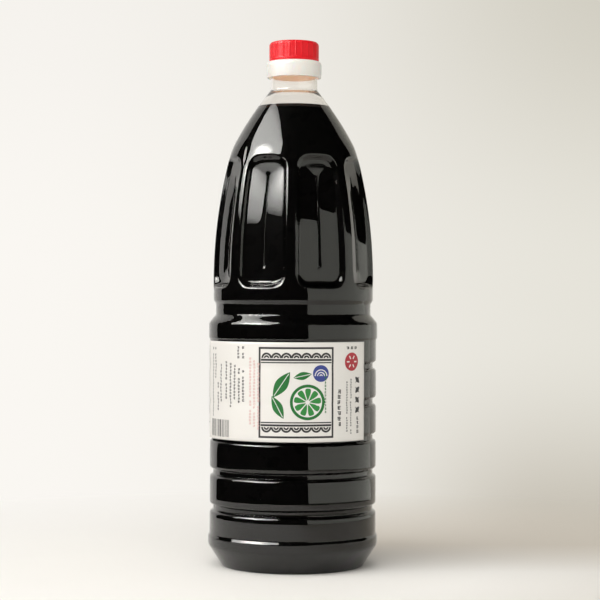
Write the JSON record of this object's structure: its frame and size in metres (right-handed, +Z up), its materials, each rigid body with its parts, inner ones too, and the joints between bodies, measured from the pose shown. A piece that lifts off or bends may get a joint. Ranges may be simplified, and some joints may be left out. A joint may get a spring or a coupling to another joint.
{
  "type": "ponzu bottle",
  "caption": "Large clear plastic bottle of dark citrus soy sauce, with sunk shoulder panels, a ribbed drum, a wrapped paper label, a white collar and a red screw lid.",
  "frame": {"origin": "middle of the flat standing ring under the bottle", "axes": "+Z up along the bottle's axis, -Y towards the front of the label"},
  "size_m": [0.1032, 0.1032, 0.3183],
  "materials": {
    "clear_plastic": "clear, glossy blown plastic",
    "sauce": "dark liquid, opaque at this depth",
    "label_paper": "coated paper, printed, soft sheen",
    "white_plastic": "smooth moulded, satin",
    "red_plastic": "moulded, soft gloss"
  },
  "bodies": {
    "root": {"bottle": "clear_plastic", "sauce": "sauce", "label": "label_paper", "collar": "white_plastic", "lid": "red_plastic"}
  },
  "joints": []
}
